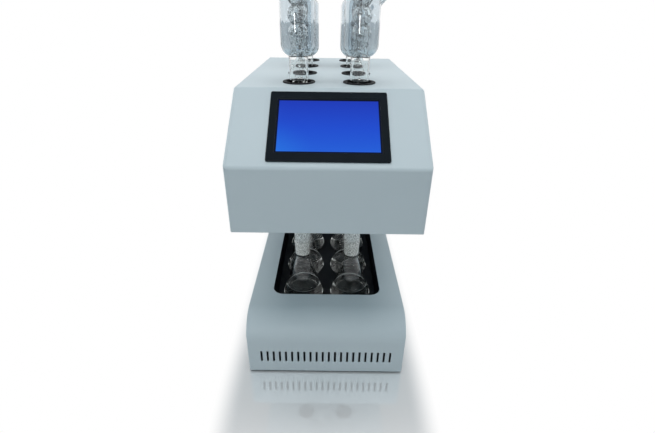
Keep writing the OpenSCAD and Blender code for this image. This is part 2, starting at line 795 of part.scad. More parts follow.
sleeve_r = guide_bore / 2 + sleeve_wall;
grommet_hole_r = lip_d / 2 - 2.5;
grommet_deep = 8;
sleeve_top = head_top - grommet_deep + 3;

module grommets() color([0.05, 0.05, 0.06]) at_places() translate([0, 0, head_top]) rotate_extrude()
    difference() {
        union() {
            // lip on the cover
            rounded([[guide_bore / 2, 0], [lip_d / 2, 0], [lip_d / 2, lip_h], [guide_bore / 2, lip_h]],
                [0, 0, lip_h / 2, 0]);
            translate([guide_bore / 2, -grommet_deep])
                square([grommet_hole_r - fit / 2 - guide_bore / 2, grommet_deep + lip_h / 2]);
            // ridge under the sheet
            translate([guide_bore / 2, -sheet - 2]) square([lip_d / 2 - 1 - guide_bore / 2, 2]);
        }
        translate([0, -grommet_deep - cut]) square([sleeve_r + 0.1, sleeve_top - head_top + grommet_deep + cut]);
    }

module guide_sleeves() color([0.06, 0.06, 0.07]) at_places() translate([0, 0, rail_z]) {
    tube(sleeve_top - rail_z, sleeve_r, guide_bore / 2);
    tube(2, sleeve_r + 5, guide_bore / 2);
}

// ---- Display, in the frame of the sloped panel ----

bezel_w = screen_w + 2 * bezel_side;
bezel_h = screen_h + 2 * bezel_end;
// the part of the bezel that goes through the sheet
bezel_body_w = bezel_w - 11;
bezel_body_h = bezel_h - 17;
bezel_wall = 2;
bezel_lip = 1.8;
// dark rim between the lit screen and the bezel
screen_rim = 2.5;
window_w = screen_w + 2 * screen_rim;
window_h = screen_h + 2 * screen_rim;
window_chamfer = 1.2;
bezel_depth = 10;
glass_w = bezel_body_w - 2 * bezel_wall - 2 * fit;
glass_h = bezel_body_h - 2 * bezel_wall - 2 * fit;
glass_t = 1.8;
glass_top = bezel_proud - bezel_lip;
gasket_t = 1;
module_t = 6;

// Frame at the bezel's middle, on the slope's surface
module at_bezel() on_slope() translate([0, -bezel_down - bezel_h / 2, 0]) children();

module display_bezel() color([0.08, 0.09, 0.1]) at_bezel() difference() {
    union() {
        hull() {
            round_plate(bezel_w, bezel_h, bezel_proud - 1, 3, $fn = 32);
            round_plate(bezel_w - 2, bezel_h - 2, bezel_proud, 2.4, $fn = 32);
        }
        translate([0, 0, -bezel_depth]) round_plate(bezel_body_w, bezel_body_h, bezel_depth + 1, 3);
    }
    translate([-window_w / 2, -window_h / 2, -cut]) cube([window_w, window_h, bezel_proud + 2 * cut]);
    // the chamfer around the window
    translate([0, 0, bezel_proud - window_chamfer]) linear_extrude(2 * window_chamfer,
        scale = [1 + 4 * window_chamfer / window_w, 1 + 4 * window_chamfer / window_h], slices = 1, $fn = 4)
        square([window_w, window_h], center = true);
    translate([-bezel_body_w / 2 + bezel_wall, -bezel_body_h / 2 + bezel_wall, -bezel_depth - cut])
        cube([bezel_body_w - 2 * bezel_wall, bezel_body_h - 2 * bezel_wall, bezel_depth + cut + glass_top]);
}

module display_glass() color([0.12, 0.3, 0.85]) at_bezel()
    translate([-glass_w / 2, -glass_h / 2, glass_top - glass_t]) cube([glass_w, glass_h, glass_t]);

module display_gasket() color([0.1, 0.1, 0.1]) at_bezel() difference() {
    translate([-glass_w / 2, -glass_h / 2, glass_top - glass_t - gasket_t])
        cube([glass_w, glass_h, gasket_t]);
    translate([-window_w / 2, -window_h / 2, glass_top - glass_t - gasket_t - cut])
        cube([window_w, window_h, gasket_t + 2 * cut]);
}

module_back = glass_top - glass_t - gasket_t - module_t;

module display_module() color([0.7, 0.71, 0.72]) at_bezel()
    translate([-glass_w / 2, -glass_h / 2, module_back]) cube([glass_w, glass_h, module_t]);

standoff_l = 12;
board_t = 1.6;
board_w = glass_w - 6;
board_h = glass_h - 12;
board_z = module_back - standoff_l - board_t;
chip_w = 24;
plug_w = 24;
plug_h = 9;
can_h = 11;

module board_standoffs() color([0.8, 0.7, 0.35]) at_bezel()
    for (x = [-1, 1], y = [-1, 1])
        translate([x * (board_w / 2 - 6), y * (board_h / 2 - 6), module_back - standoff_l])
            cylinder(h = standoff_l, r = 3, $fn = 6);

module control_board() color([0.1, 0.4, 0.2]) at_bezel() translate([0, 0, board_z]) {
    difference() {
        translate([-board_w / 2, -board_h / 2, 0]) cube([board_w, board_h, board_t]);
        for (x = [-1, 1], y = [-1, 1]) translate([x * (board_w / 2 - 6), y * (board_h / 2 - 6), -cut])
            cylinder(h = board_t + 2 * cut, r = 1.6);
    }
    // processor, connectors and capacitors
    translate([-chip_w / 2, -4, -2 + eps]) cube([chip_w, chip_w, 2]);
    for (x = [-50, -18, 18, 50]) translate([x - plug_w / 2, 3 - board_h / 2, -plug_h + eps])
        cube([plug_w, 8, plug_h]);
    for (x = [-52, -38, 38]) translate([x, 22, -can_h + eps]) cylinder(h = can_h, r = 4.5);
}

// ---- Glassware ----

foot_r = 11.5;
joint_z = flask_h - joint_l;
// the neck between the shoulder and the ground joint
neck_l = 9.5;
shoulder_z = joint_z - neck_l;
shoulder_r = 22;
// a ground joint narrows by a tenth of its length
taper = joint_l / 40;
rim_h = 4;
rim_d = 33.5;
joint_top_r = joint_d / 2 + taper;
joint_low_r = joint_d / 2 - taper;

// Half section of a flask from its foot to its neck; grow is negative for the inside
module flask_section(grow) {
    neck_r = neck_d / 2 + grow;
    foot = foot_r + grow;
    centre = [flask_d / 2 - foot_r, foot_r];
    top = [neck_r, shoulder_z];
    reach = top - centre;
    // where the cone leaves the round foot
    angle = atan2(reach[1], reach[0]) - acos(foot / norm(reach));
    leave = centre + foot * [cos(angle), sin(angle)];
    polygon([[0, foot_r - foot], [centre[0], foot_r - foot], leave, top,
             [neck_r, joint_z - 5], [0, joint_z - 5]]);
    translate(centre) circle(foot);
    corner_bit([neck_r, joint_z], top, leave, shoulder_r - grow, 1.1);
}

module flask_solid() rotate_extrude() difference() {
    union() {
        flask_section(0);
        // ground joint and its beaded rim
        polygon([[0, joint_z - 5], [neck_d / 2, joint_z - 5], [joint_low_r + glass, joint_z],
                 [joint_top_r + glass - 0.3, flask_h - rim_h], [0, flask_h - rim_h]]);
        rounded([[0, flask_h - rim_h], [rim_d / 2, flask_h - rim_h], [rim_d / 2, flask_h], [0, flask_h]],
                [0, 1.6, 1.6, 0]);
    }
    flask_section(-glass);
    polygon([[0, joint_z - 5 - eps], [neck_d / 2 - glass, joint_z - 5 - eps],
             [joint_low_r, joint_z], [joint_top_r, flask_h + eps], [0, flask_h + eps]]);
}

module flask(i) color([0.8, 0.85, 0.88], 0.4) translate(place(i)) translate([0, 0, plate_z]) flask_solid();

rim_z = plate_z + flask_h;
bulb_first = 36;
inner_tube_r = 13;
waist_r = 9.2;
mouth_r = 12;
jacket_low_r = 20;
jacket_high_r = 14;
bead_h = 3;
// how far the cone's upper end stands above the flask's rim
cone_end = 0.3;
arm_r = 4.2;
arm_wall = 1.6;
arm_root = 78;
arm_angle = 45;
low_arm_root = 24;
top_bulb = bulb_first + (bulb_count - 1) * bulb_pitch;

// Half section of the bulbed inner tube, with the jacket's bottom at height 0
module bulb_section(grow, from, to) {
    translate([0, from]) square([inner_tube_r + grow, bulb_first - from]);
    for (i = [0 : bulb_count - 1]) intersection() {
        translate([0, bulb_first + i * bulb_pitch]) circle(bulb_d / 2 + grow);
        square([bulb_d, to]);
    }
    translate([0, bulb_first]) square([waist_r + grow, top_bulb - bulb_first]);
    translate([0, top_bulb]) square([mouth_r + grow, to - top_bulb]);
}

// Half section of everything that the jacket encloses
module jacket_section(grow) {
    r = jacket_d / 2 + grow;
    rounded([[0, -grow], [r, -grow], [r, jacket_l + grow], [0, jacket_l + grow]],
            [0, jacket_low_r + grow, jacket_high_r + grow, 0]);
}

// Stem and ground cone under the jacket, which starts at height 0; stem_l is the stem's length
module stem_section(stem_l) polygon([[0, cone_end - stem_l - joint_l],
    [joint_low_r - joint_gap, cone_end - stem_l - joint_l], [joint_top_r - joint_gap, cone_end - stem_l],
    [stem_d / 2, 5 - stem_l], [stem_d / 2, glass], [0, glass]]);

module stem_bore(stem_l) polygon([[0, -stem_l - joint_l], [joint_low_r - joint_gap - glass, -stem_l - joint_l],
    [joint_top_r - joint_gap - glass, 2 - stem_l], [stem_d / 2 - glass, 7 - stem_l],
    [stem_d / 2 - glass, -3], [inner_tube_r - glass, glass + 1], [0, glass + 1]]);

// Half section of the inner tube and its stem without their bore
module tube_section(stem_l) {
    bulb_section(0, 0, jacket_l + mouth_l);
    stem_section(stem_l);
    // beaded mouth
    rounded([[0, jacket_l + mouth_l - bead_h], [mouth_r + 2, jacket_l + mouth_l - bead_h],
             [mouth_r + 2, jacket_l + mouth_l], [0, jacket_l + mouth_l]], [0, 1, 1, 0]);
}

module inner_tube(stem_l) rotate_extrude() difference() {
    tube_section(stem_l);
    bulb_section(-glass, 0, jacket_l + mouth_l + 1);
    stem_bore(stem_l);
}

// Where a hose arm leaves the jacket's wall at height z, rising outwards
module on_arm(z) translate([jacket_d / 2 - 3, 0, z]) rotate([0, 90 - arm_angle, 0]) children();

module arm_body() {
    cylinder(h = arm_l, r = arm_r);
    for (k = [0 : 2]) translate([0, 0, arm_l - 4 - k * 4]) cylinder(h = 3, r1 = arm_r + 1, r2 = arm_r);
}

// The lower arm points to the back, the upper one is turned from there
module jacket_with_arms(stem_l, turn) difference() {
    union() {
        rotate_extrude() jacket_section(0);
        rotate(90) on_arm(low_arm_root) arm_body();
        rotate(90 + turn) on_arm(arm_root) arm_body();
    }
    rotate_extrude() {
        jacket_section(-glass);
        tube_section(stem_l);
    }
    rotate(90) on_arm(low_arm_root) cylinder(h = arm_l + cut, r = arm_r - arm_wall);
    rotate(90 + turn) on_arm(arm_root) cylinder(h = arm_l + cut, r = arm_r - arm_wall);
}

condenser_rows = [0, 2];

function jacket_z(i) = head_top + jacket_rise - (i > 1 ? rear_drop : 0);

// Condensers stand in the first and the third row; the rear ones sit lower
module at_condenser(i) translate(place(2 * condenser_rows[floor(i / 2)] + i % 2))
    translate([0, 0, jacket_z(i)]) children();

module condenser(i) color([0.8, 0.86, 0.9], 0.4) at_condenser(i) inner_tube(jacket_z(i) - rim_z);

// The upper hose arm points to the back on the left, and outwards on the right
module water_jacket(i) color([0.8, 0.86, 0.9], 0.4) at_condenser(i)
    jacket_with_arms(jacket_z(i) - rim_z, i % 2 == 0 ? 0 : -90);

base_cover();
base_pan();
feet();
foot_screws();
well_liner();
hot_plate();
heating_elements();
insulation_board();
heat_shield();
plate_standoffs();
thermocouple();
power_supply();
relay_heat_sink();
solid_state_relay();
terminal_block();
column_cover();
column_uprights();
head_rails();
rear_panel();
rear_panel_screws();
power_inlet();
inlet_pins();
fuse_drawer();
fuse();
switch_frame();
switch_rocker();
fan_frame();
fan_rotor();
fan_guard();
fan_screws();
head_cover();
head_cheeks();
head_floor();
head_floor_screws();
grommets();
guide_sleeves();
display_bezel();
display_glass();
display_gasket();
display_module();
control_board();
board_standoffs();
flask(0);  // flask_1
flask(1);  // flask_2
flask(2);  // flask_3
flask(3);  // flask_4
flask(4);  // flask_5
flask(5);  // flask_6
flask(6);  // flask_7
flask(7);  // flask_8
condenser(0);  // condenser_1
condenser(1);  // condenser_2
condenser(2);  // condenser_3
condenser(3);  // condenser_4
water_jacket(0);  // water_jacket_1
water_jacket(1);  // water_jacket_2
water_jacket(2);  // water_jacket_3
water_jacket(3);  // water_jacket_4
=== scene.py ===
"""Looks of the block digester: finishes for its CAD nodes, smooth glassware, and what the
flasks hold. Places are in metres, in the frame of the CAD model; profiles are in mm."""
from math import acos, atan2, cos, dist, pi, radians, sin, tan

import bmesh
import bpy
from mathutils import Matrix, Vector


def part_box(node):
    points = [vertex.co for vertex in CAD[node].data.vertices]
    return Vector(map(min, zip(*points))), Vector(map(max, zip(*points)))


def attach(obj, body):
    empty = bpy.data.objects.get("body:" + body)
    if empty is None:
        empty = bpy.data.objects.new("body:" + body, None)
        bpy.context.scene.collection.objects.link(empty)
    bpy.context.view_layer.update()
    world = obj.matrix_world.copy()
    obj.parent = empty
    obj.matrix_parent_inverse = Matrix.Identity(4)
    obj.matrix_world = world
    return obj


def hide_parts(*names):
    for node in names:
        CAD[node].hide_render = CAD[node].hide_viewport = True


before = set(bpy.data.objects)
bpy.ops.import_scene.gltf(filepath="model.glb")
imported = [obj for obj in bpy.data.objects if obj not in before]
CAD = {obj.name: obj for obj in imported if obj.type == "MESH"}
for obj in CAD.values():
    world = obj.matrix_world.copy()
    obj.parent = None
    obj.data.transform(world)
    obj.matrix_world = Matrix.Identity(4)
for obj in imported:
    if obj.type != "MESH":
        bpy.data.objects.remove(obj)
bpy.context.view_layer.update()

MM = 0.001
FLASKS = [f"flask_{n}" for n in range(1, 9)]

# sRGB values as the photograph shows them in plain light
PAINT = (196, 207, 211)
INK_BLACK = (22, 25, 29)

# Half of the base's footprint, and how far beyond it the floor still shows a mirror image
HALF_FOOTPRINT = (0.15, 0.29, 0)
MIRROR_REACH = (0.055, 0.36, 1)

# Half of the screen's lit width and height
HALF_LIT = (0.0762, 0.047)

MATH, VECTOR_MATH = "ShaderNodeMath", "ShaderNodeVectorMath"


def placed(name, data):
    """A new object of the scene that holds data."""
    made = bpy.data.objects.new(name, data)
    bpy.context.scene.collection.objects.link(made)
    return made


def feed(tree, socket, source):
    """Links another node's output to an input, or sets the input to a value."""
    if isinstance(source, bpy.types.NodeSocket):
        tree.links.new(source, socket)
    else:
        socket.default_value = source


def calculated(tree, kind, operation, *sources):
    """A math node, with a socket or a value for each of its inputs in turn."""
    made = tree.nodes.new(kind)
    made.operation = operation
    for socket, source in zip(made.inputs, sources):
        feed(tree, socket, source)
    return made


# ---- Camera, floor and light ----

def photo_camera():
    """The photograph's view: 28 degrees down, rolled by 0.7 degrees."""
    data = bpy.data.cameras.new("photo_camera")
    data.lens = 21.71
    data.sensor_width = 36
    data.clip_start = 0.02
    camera = placed("photo_camera", data)
    camera.matrix_world = (Matrix.Translation((0, -0.8365, 0.640))
                           @ Matrix.Rotation(radians(90 - 28), 4, "X")
                           @ Matrix.Rotation(radians(0.7), 4, "Z"))
    bpy.context.scene.camera = camera


def soft_box(name, place, aim, size, watts, seen_in_gloss=False):
    data = bpy.data.lights.new(name, "AREA")
    data.size = size
    data.energy = watts
    lamp = placed(name, data)
    lamp.location = place
    lamp.rotation_euler = (Vector(aim) - Vector(place)).to_track_quat("-Z", "Y").to_euler()
    lamp.visible_glossy = seen_in_gloss


def studio_world():
    """Even pale light; what the camera, gloss and glass see of it is white. Gloss sees a
    darker ceiling, as black plastic does in the photograph."""
    world = bpy.data.worlds.new("studio")
    world.use_nodes = True
    bpy.context.scene.world = world
    tree = world.node_tree
    nodes, link = tree.nodes, tree.links.new
    light = nodes["Background"]
    light.inputs["Color"].default_value = (0.3, 0.75, 1.0, 1)
    light.inputs["Strength"].default_value = 0.16
    white = nodes.new("ShaderNodeBackground")
    white.inputs["Color"].default_value = (1, 1, 1, 1)
    path = nodes.new("ShaderNodeLightPath")
    through = calculated(tree, MATH, "ADD", path.outputs["Is Glossy Ray"],
                         path.outputs["Is Transmission Ray"])
    seen = calculated(tree, MATH, "ADD", path.outputs["Is Camera Ray"], through.outputs[0])
    seen.use_clamp = True
    # the ceiling, for gloss only
    place = nodes.new("ShaderNodeTexCoord")
    height = nodes.new("ShaderNodeSeparateXYZ")
    link(place.outputs["Generated"], height.inputs[0])
    dim = nodes.new("ShaderNodeMapRange")
    for label, value in {"From Min": 0.5, "From Max": 0.85, "To Min": 0, "To Max": 0.8}.items():
        dim.inputs[label].default_value = value
    link(height.outputs["Z"], dim.inputs["Value"])
    ceiling = calculated(tree, MATH, "MULTIPLY", dim.outputs["Result"],
                         path.outputs["Is Glossy Ray"])
    strength = calculated(tree, MATH, "SUBTRACT", 1, ceiling.outputs[0])
    link(strength.outputs[0], white.inputs["Strength"])
    mix = nodes.new("ShaderNodeMixShader")
    link(seen.outputs[0], mix.inputs["Fac"])
    link(light.outputs[0], mix.inputs[1])
    link(white.outputs[0], mix.inputs[2])
    link(mix.outputs[0], nodes["World Output"].inputs["Surface"])


def floor():
    """A pale floor that mirrors the base a little, and turns to plain white further out."""
    half = 20
    mesh = bpy.data.meshes.new("floor")
    mesh.from_pydata([(-half, -half, 0), (half, -half, 0), (half, half, 0), (-half, half, 0)],
                     [], [(0, 1, 2, 3)])
    ground = placed("floor", mesh)
    mat = Finish("floor_white")
    mat.set(Base_Color=(0.93, 0.93, 0.93, 1), Roughness=0.6)
    mirror = mat.node("ShaderNodeBsdfGlossy", Roughness=0.06, Color=(0.98, 0.98, 0.98, 1))
    lit = mat.node("ShaderNodeMixShader", Fac=0.45)
    mat.link(mat.shader.outputs[0], lit.inputs[1])
    mat.link(mirror.outputs[0], lit.inputs[2])
    white = mat.node("ShaderNodeEmission", Strength=1.0)
    # how far a point lies from the footprint; the mirrored base reaches furthest, in front
    place = mat.node("ShaderNodeTexCoord")
    beyond = calculated(mat.tree, VECTOR_MATH, "ABSOLUTE", place.outputs["Object"])
    outside = calculated(mat.tree, VECTOR_MATH, "SUBTRACT", beyond.outputs[0], HALF_FOOTPRINT)
    edge = calculated(mat.tree, VECTOR_MATH, "MAXIMUM", outside.outputs[0], (0, 0, 0))
    share = calculated(mat.tree, VECTOR_MATH, "DIVIDE", edge.outputs[0], MIRROR_REACH)
    far = calculated(mat.tree, VECTOR_MATH, "LENGTH", share.outputs[0])
    fade = mat.node("ShaderNodeMapRange", From_Min=0.05, From_Max=1, Value=far.outputs["Value"])
    fade.interpolation_type = "SMOOTHSTEP"
    path = mat.node("ShaderNodeLightPath")
    seen = calculated(mat.tree, MATH, "MULTIPLY", path.outputs["Is Camera Ray"],
                      fade.outputs["Result"])
    out = mat.node("ShaderNodeMixShader", Fac=seen.outputs[0])
    mat.link(lit.outputs[0], out.inputs[1])
    mat.link(white.outputs[0], out.inputs[2])
    mat.link(out.outputs[0], mat.output.inputs["Surface"])
    mesh.materials.append(mat.material)


# ---- Node groups that several finishes share ----

def linear(rgb):
    """An sRGB colour from 0 to 255 as Blender's linear colour."""
    def channel(v):
        v /= 255
        return v / 12.92 if v <= 0.04045 else ((v + 0.055) / 1.055) ** 2.4
    return (*[channel(v) for v in rgb], 1)


def new_group(name, inputs, outputs):
    """An empty shader node group with named sockets; inputs maps a name to its default."""
    group = bpy.data.node_groups.new(name, "ShaderNodeTree")
    for label, default in inputs.items():
        kind = "NodeSocketColor" if isinstance(default, tuple) else "NodeSocketFloat"
        socket = group.interface.new_socket(label, in_out="INPUT", socket_type=kind)
        socket.default_value = default
    for label, kind in outputs.items():
        group.interface.new_socket(label, in_out="OUTPUT", socket_type=kind)
    start = group.nodes.new("NodeGroupInput")
    end = group.nodes.new("NodeGroupOutput")
    return group, start, end


def fine_grain_group():
    """Height of a fine, even grain, such as powder coat or moulded plastic."""
    group, start, end = new_group("fine_grain", {"Scale": 900.0, "Softness": 0.5},
                                  {"Height": "NodeSocketFloat"})
    place = group.nodes.new("ShaderNodeTexCoord")
    noise = group.nodes.new("ShaderNodeTexNoise")
    noise.inputs["Detail"].default_value = 2
    group.links.new(place.outputs["Object"], noise.inputs["Vector"])
    group.links.new(start.outputs["Scale"], noise.inputs["Scale"])
    group.links.new(start.outputs["Softness"], noise.inputs["Roughness"])
    group.links.new(noise.outputs["Fac"], end.inputs["Height"])
    return group


def drift_group():
    """A colour that gets slightly darker and lighter over the surface, and a mask of it."""
    group, start, end = new_group(
        "tone_drift", {"Color": (0.5, 0.5, 0.5, 1), "Amount": 0.06, "Scale": 9.0},
        {"Color": "NodeSocketColor", "Mask": "NodeSocketFloat"})
    place = group.nodes.new("ShaderNodeTexCoord")
    noise = group.nodes.new("ShaderNodeTexNoise")
    noise.inputs["Detail"].default_value = 4
    noise.inputs["Distortion"].default_value = 0.4
    group.links.new(place.outputs["Object"], noise.inputs["Vector"])
    group.links.new(start.outputs["Scale"], noise.inputs["Scale"])
    centred = calculated(group, MATH, "SUBTRACT", noise.outputs["Fac"], 0.5)
    gain = calculated(group, MATH, "MULTIPLY_ADD", centred.outputs[0], start.outputs["Amount"], 1)
    tone = calculated(group, VECTOR_MATH, "SCALE", start.outputs["Color"])
    group.links.new(gain.outputs[0], tone.inputs["Scale"])
    group.links.new(tone.outputs["Vector"], end.inputs["Color"])
    group.links.new(noise.outputs["Fac"], end.inputs["Mask"])
    return group


def brushed_group():
    """Height of fine lines along X, as on rolled or brushed metal."""
    group, start, end = new_group("brushed_lines", {"Fineness": 2500.0, "Length": 18.0},
                                  {"Height": "NodeSocketFloat"})
    place = group.nodes.new("ShaderNodeTexCoord")
    stretch = group.nodes.new("ShaderNodeCombineXYZ")
    group.links.new(start.outputs["Length"], stretch.inputs["X"])
    group.links.new(start.outputs["Fineness"], stretch.inputs["Y"])
    group.links.new(start.outputs["Fineness"], stretch.inputs["Z"])
    scaled = calculated(group, VECTOR_MATH, "MULTIPLY", place.outputs["Object"],
                        stretch.outputs[0])
    noise = group.nodes.new("ShaderNodeTexNoise")
    noise.inputs["Scale"].default_value = 1
    noise.inputs["Detail"].default_value = 3
    group.links.new(scaled.outputs["Vector"], noise.inputs["Vector"])
    group.links.new(noise.outputs["Fac"], end.inputs["Height"])
    return group


FINE_GRAIN = fine_grain_group()
TONE_DRIFT = drift_group()
BRUSHED = brushed_group()


class Finish:
    """A material under construction: its Principled shader and short ways to add nodes."""

    def __init__(self, name):
        self.material = bpy.data.materials.new(name)
        self.material.use_nodes = True
        self.tree = self.material.node_tree
        self.shader = self.tree.nodes["Principled BSDF"]
        self.output = self.tree.nodes["Material Output"]

    def node(self, kind, **inputs):
        """A new node; each input is given by its name, as a value or another node's output."""
        made = self.tree.nodes.new(kind)
        self.give(made, inputs)
        return made

    def group(self, group, **inputs):
        made = self.tree.nodes.new("ShaderNodeGroup")
        made.node_tree = group
        self.give(made, inputs)
        return made

    def give(self, node, inputs):
        for label, source in inputs.items():
            feed(self.tree, node.inputs[label.replace("_", " ")], source)

    def set(self, **inputs):
        """The same for the Principled shader."""
        self.give(self.shader, inputs)

    def link(self, source, target):
        self.tree.links.new(source, target)

    def mixed(self, factor, first, second):
        """Two colours mixed by factor."""
        made = self.tree.nodes.new("ShaderNodeMix")
        made.data_type = "RGBA"
        # the colour sockets of a mix node come after those for numbers and vectors
        for k, source in ((0, factor), (6, first), (7, second)):
            feed(self.tree, made.inputs[k], source)
        return made.outputs[2]

    def range(self, source, low, high, start=0.3, end=0.7):
        """source stretched so that start gives low and end gives high."""
        made = self.node("ShaderNodeMapRange", From_Min=start, From_Max=end, To_Min=low,
                         To_Max=high, Value=source)
        return made.outputs["Result"]

    def drift(self, rgb, amount, scale):
        """Base Color with slow changes of tone; gives the mask back."""
        tone = self.group(TONE_DRIFT, Color=linear(rgb), Amount=amount, Scale=scale)
        self.set(Base_Color=tone.outputs["Color"])
        return tone.outputs["Mask"]

    def rough(self, mask, low, high):
        self.set(Roughness=self.range(mask, low, high))

    def bump(self, height, strength, depth):
        made = self.node("ShaderNodeBump", Strength=strength, Distance=depth, Height=height)
        self.set(Normal=made.outputs["Normal"])
        return made

    def grain(self, scale, strength, depth):
        grain = self.group(FINE_GRAIN, Scale=scale)
        return self.bump(grain.outputs["Height"], strength, depth)


# ---- Finishes ----

def powder_coat():
    mat = Finish("housing_powder_coat")
    mat.rough(mat.drift(PAINT, 0.05, 7), 0.40, 0.50)
    bump = mat.grain(1100, 0.25, 0.00012)
    # folded sheet has slightly soft edges
    soft = mat.node("ShaderNodeBevel", Radius=0.0009)
    soft.samples = 4
    mat.link(soft.outputs["Normal"], bump.inputs["Normal"])
    return mat.material


def moulding(name, rgb=INK_BLACK, low=0.38, high=0.5, grain=1400, gloss=0.5):
    mat = Finish(name)
    mat.set(Specular_IOR_Level=gloss)
    mat.rough(mat.drift(rgb, 0.25, 30), low, high)
    mat.grain(grain, 0.3, 0.00008)
    return mat.material


def soft_rubber():
    mat = Finish("black_rubber")
    mat.set(Specular_IOR_Level=0.25)
    mat.rough(mat.drift((17, 19, 23), 0.4, 60), 0.55, 0.75)
    mat.grain(700, 0.25, 0.0001)
    return mat.material


def heat_proof_black():
    """Matt black of the liner, a little greyer where hot vapour has dried on it."""
    mat = Finish("heat_proof_black")
    mat.set(Specular_IOR_Level=0.15)
    mat.rough(mat.drift((9, 13, 20), 0.6, 25), 0.55, 0.8)
    mat.grain(500, 0.3, 0.0001)
    return mat.material


def plate_black():
    """The hot plate: a dark coat that use has made uneven."""
    mat = Finish("hot_plate_coat")
    mat.rough(mat.drift((13, 16, 22), 0.5, 18), 0.4, 0.62)
    mat.grain(900, 0.2, 0.00008)
    return mat.material


def rolled_metal(name, rgb, rough=(0.28, 0.42), fineness=2500):
    mat = Finish(name)
    mat.set(Metallic=1.0)
    mat.rough(mat.drift(rgb, 0.12, 20), *rough)
    lines = mat.group(BRUSHED, Fineness=fineness)
    mat.bump(lines.outputs["Height"], 0.15, 0.00003)
    return mat.material


def heated_sheath():
    """Steel that heat has turned straw and blue in patches."""
    mat = Finish("heated_sheath")
    mat.set(Metallic=1.0)
    place = mat.node("ShaderNodeTexCoord")
    noise = mat.node("ShaderNodeTexNoise", Scale=22, Detail=3, Vector=place.outputs["Object"])
    tint = mat.node("ShaderNodeValToRGB", Fac=noise.outputs["Fac"])
    tint.color_ramp.elements[0].color = linear((70, 66, 80))
    tint.color_ramp.elements[1].color = linear((128, 104, 78))
    middle = tint.color_ramp.elements.new(0.5)
    middle.color = linear((96, 88, 84))
    mat.set(Base_Color=tint.outputs["Color"])
    mat.rough(noise.outputs["Fac"], 0.35, 0.55)
    return mat.material


def fibre_board():
    mat = Finish("ceramic_fibre")
    mat.rough(mat.drift((228, 223, 208), 0.12, 60), 0.85, 0.98)
    mat.grain(600, 0.6, 0.0005)
    return mat.material


def circuit_green():
    """Solder mask with copper tracks that show through as lighter lines."""
    mat = Finish("circuit_board")
    place = mat.node("ShaderNodeTexCoord")
    tracks = mat.node("ShaderNodeTexBrick", Scale=140, Mortar_Size=0.06,
                      Color1=linear((18, 92, 52)), Color2=linear((20, 100, 58)),
                      Mortar=linear((60, 140, 84)), Vector=place.outputs["Object"])
    mat.set(Base_Color=tracks.outputs["Color"], Roughness=0.35, Coat_Weight=0.3)
    return mat.material


def lit_screen():
    """A blue screen behind glass, brighter below, with one soft arc of light and a dark rim."""
    mat = Finish("lit_screen")
    low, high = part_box("display_glass")
    middle = (low + high) / 2
    up = Vector((0, high.y - low.y, high.z - low.z)).normalized()
    place = mat.node("ShaderNodeTexCoord")
    centred = calculated(mat.tree, VECTOR_MATH, "SUBTRACT", place.outputs["Object"], middle)
    across = mat.node("ShaderNodeSeparateXYZ", Vector=centred.outputs[0])
    along = calculated(mat.tree, VECTOR_MATH, "DOT_PRODUCT", centred.outputs[0], up)
    x, y = across.outputs["X"], along.outputs["Value"]
    # from the lower edge up
    tone = mat.node("ShaderNodeValToRGB", Fac=mat.range(y, 0, 1, -0.045, 0.045))
    ramp = tone.color_ramp
    ramp.elements[0].color = linear((34, 92, 214))
    ramp.elements[1].color = linear((28, 58, 184))
    ramp.elements.new(0.45).color = linear((30, 76, 206))
    # a soft arc around a point left below the screen
    arc_place = mat.node("ShaderNodeCombineXYZ", X=mat.range(x, 0, 1, -0.12, -0.02),
                         Y=mat.range(y, 0, 1, -0.09, 0.01))
    arc = calculated(mat.tree, VECTOR_MATH, "LENGTH", arc_place.outputs[0])
    glow = mat.node("ShaderNodeMapRange", From_Min=1.2, From_Max=0.3, To_Min=0, To_Max=0.45,
                    Value=arc.outputs["Value"])
    glow.interpolation_type = "SMOOTHSTEP"
    shown = mat.mixed(glow.outputs["Result"], tone.outputs["Color"], linear((44, 140, 236)))
    # the dark rim between the lit area and the bezel
    inside = 1
    for value, half in zip((x, y), HALF_LIT):
        size = calculated(mat.tree, MATH, "ABSOLUTE", value)
        within = calculated(mat.tree, MATH, "LESS_THAN", size.outputs[0], half)
        inside = calculated(mat.tree, MATH, "MULTIPLY", inside, within.outputs[0]).outputs[0]
    mat.set(Base_Color=linear((8, 10, 16)), Roughness=0.12, Specular_IOR_Level=0.15,
            Emission_Color=mat.mixed(inside, linear((10, 16, 38)), shown), Emission_Strength=1.0)
    return mat.material


def clear_glass(name="clear_glass", tint=(0.985, 0.995, 0.99)):
    """Borosilicate glass; a hint of wave in the drawn wall bends the light as it does there."""
    mat = Finish(name)
    mat.set(Base_Color=(*tint, 1), Transmission_Weight=1.0, IOR=1.47, Roughness=0.0)
    wave = mat.group(FINE_GRAIN, Scale=45)
    mat.bump(wave.outputs["Height"], 0.12, 0.0006)
    return mat.material


def clear_liquid():
    mat = Finish("clear_liquid")
    mat.set(Base_Color=(0.97, 0.99, 0.99, 1), Transmission_Weight=1.0, IOR=1.33, Roughness=0.0)
    return mat.material


def liquid_rim():
    """A painted highlight: a pale, half-clear finish for the bright line along the liquid's edge,
    where the meniscus bends light.
    """
    mat = Finish("liquid_rim")
    mat.set(Base_Color=linear((226, 234, 238)), Roughness=0.3, Alpha=0.6)
    return mat.material


def ground_glass():
    """The frosted face inside a ground joint: white grains with clear gaps between them."""
    mat = Finish("ground_glass")
    mat.rough(mat.drift((236, 240, 238), 0.9, 260), 0.75, 0.95)
    grain = mat.group(FINE_GRAIN, Scale=520, Softness=0.7)
    mat.set(Alpha=mat.range(grain.outputs["Height"], 0.05, 1, 0.36, 0.56))
    mat.bump(grain.outputs["Height"], 0.6, 0.0002)
    return mat.material


# ---- Making pieces ----

# Points of a profile that are nearer than this, in mm, are one
SAME_POINT = 1e-4


